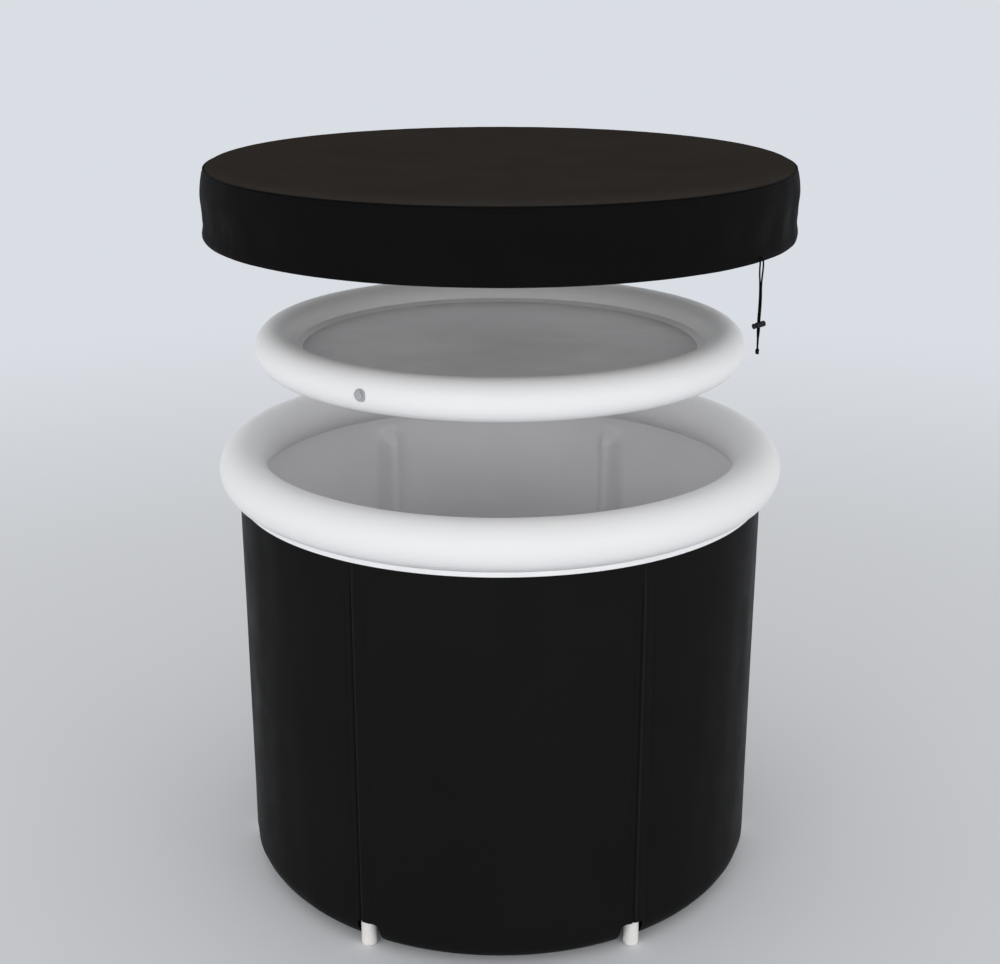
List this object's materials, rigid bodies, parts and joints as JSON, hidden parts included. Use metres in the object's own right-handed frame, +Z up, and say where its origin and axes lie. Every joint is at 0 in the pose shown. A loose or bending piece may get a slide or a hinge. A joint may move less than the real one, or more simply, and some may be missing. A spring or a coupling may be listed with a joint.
{
  "type": "inflatable bathtub",
  "caption": "Round soft-walled bathtub with an inflatable rim, an inflatable lid and a fitted drawstring cover, shown lifted apart.",
  "frame": {"origin": "on the floor under the middle of the tub", "axes": "+Z up along the tub's axis, front towards -Y with the drain at the back, +X to the right seen from the front"},
  "size_m": [0.9516, 0.9516, 1.2092],
  "materials": {
    "wall_cloth": "satin",
    "foam": "matte",
    "liner": "satin",
    "rim_film": "satin",
    "lid_film": "satin",
    "weld_film": "satin",
    "lid_sheet": "satin",
    "valve_plastic": "gloss",
    "rod_plastic": "satin",
    "foot_plastic": "satin",
    "sleeve_cloth": "matte",
    "drain_plastic": "satin",
    "seal_rubber": "matte",
    "cover_top_cloth": "matte",
    "cover_side_cloth": "matte",
    "cover_trim": "matte",
    "cord": "matte",
    "lock_plastic": "satin",
    "spring_steel": "satin"
  },
  "bodies": {
    "tub": {"outer_wall": "wall_cloth", "base_panel": "wall_cloth", "wall_foam": "foam", "base_foam": "foam", "inner_liner": "liner", "rim_ring": "rim_film", "rim_flange": "weld_film", "rim_valve_body": "valve_plastic", "rod_tube_1": "rod_plastic", "rod_tube_2": "rod_plastic", "rod_tube_3": "rod_plastic", "rod_tube_4": "rod_plastic", "rod_tube_5": "rod_plastic", "rod_tube_6": "rod_plastic", "rod_foot_1": "foot_plastic", "rod_foot_2": "foot_plastic", "rod_foot_3": "foot_plastic", "rod_foot_4": "foot_plastic", "rod_foot_5": "foot_plastic", "rod_foot_6": "foot_plastic", "rod_top_plug_1": "foot_plastic", "rod_top_plug_2": "foot_plastic", "rod_top_plug_3": "foot_plastic", "rod_top_plug_4": "foot_plastic", "rod_top_plug_5": "foot_plastic", "rod_top_plug_6": "foot_plastic", "rod_pocket_1": "sleeve_cloth", "rod_pocket_2": "sleeve_cloth", "rod_pocket_3": "sleeve_cloth", "rod_pocket_4": "sleeve_cloth", "rod_pocket_5": "sleeve_cloth", "rod_pocket_6": "sleeve_cloth", "drain_flange": "drain_plastic", "drain_gasket": "seal_rubber", "drain_nut": "drain_plastic"},
    "lid": {"lid_ring": "lid_film", "lid_disc": "lid_sheet", "lid_weld_band": "weld_film", "lid_valve_body": "valve_plastic"},
    "cover": {"cover_top": "cover_top_cloth", "cover_skirt": "cover_side_cloth", "cover_piping": "cover_trim", "cover_hem": "cover_trim", "hem_drawcord": "cord", "drawcord_left": "cord", "drawcord_right": "cord", "cord_lock_body": "lock_plastic", "cord_lock_spring": "spring_steel", "cord_knot": "cord"},
    "rim_plug": {"rim_valve_plug": "valve_plastic"},
    "lid_plug": {"lid_valve_plug": "valve_plastic"},
    "drain_outer_cap": {"drain_cap": "drain_plastic"},
    "drain_inner_stopper": {"drain_stopper": "seal_rubber"},
    "lock_button": {"cord_lock_button": "lock_plastic"}
  },
  "joints": [
    {"name": "lid_lift", "type": "slide", "parent": "tub", "child": "lid", "axis": [0, 0, 1], "range_m": [-0.161, 0]},
    {"name": "cover_lift", "type": "slide", "parent": "lid", "child": "cover", "axis": [0, 0, 1], "range_m": [-0.262, 0]},
    {"name": "rim_valve_hinge", "type": "hinge", "parent": "tub", "child": "rim_plug", "pos_m": [-0.12037, 0.44923, 0.68809], "axis": [0.9659, 0.2588, 0], "range_deg": [0, 110]},
    {"name": "lid_valve_hinge", "type": "hinge", "parent": "lid", "child": "lid_plug", "pos_m": [-0.20528, -0.34849, 0.92022], "axis": [-0.8616, 0.5075, 0], "range_deg": [0, 110]},
    {"name": "drain_cap_pull", "type": "slide", "parent": "tub", "child": "drain_outer_cap", "axis": [-0.0654, 0.9979, 0], "range_m": [0, 0.02]},
    {"name": "drain_stopper_pull", "type": "slide", "parent": "tub", "child": "drain_inner_stopper", "axis": [0.0654, -0.9979, 0], "range_m": [0, 0.02]},
    {"name": "cord_lock_press", "type": "slide", "parent": "cover", "child": "lock_button", "axis": [0.9084, 0.3763, 0.1822], "range_m": [0, 0.002], "stiffness_N_per_m": 800, "springref_m": -0.002}
  ]
}
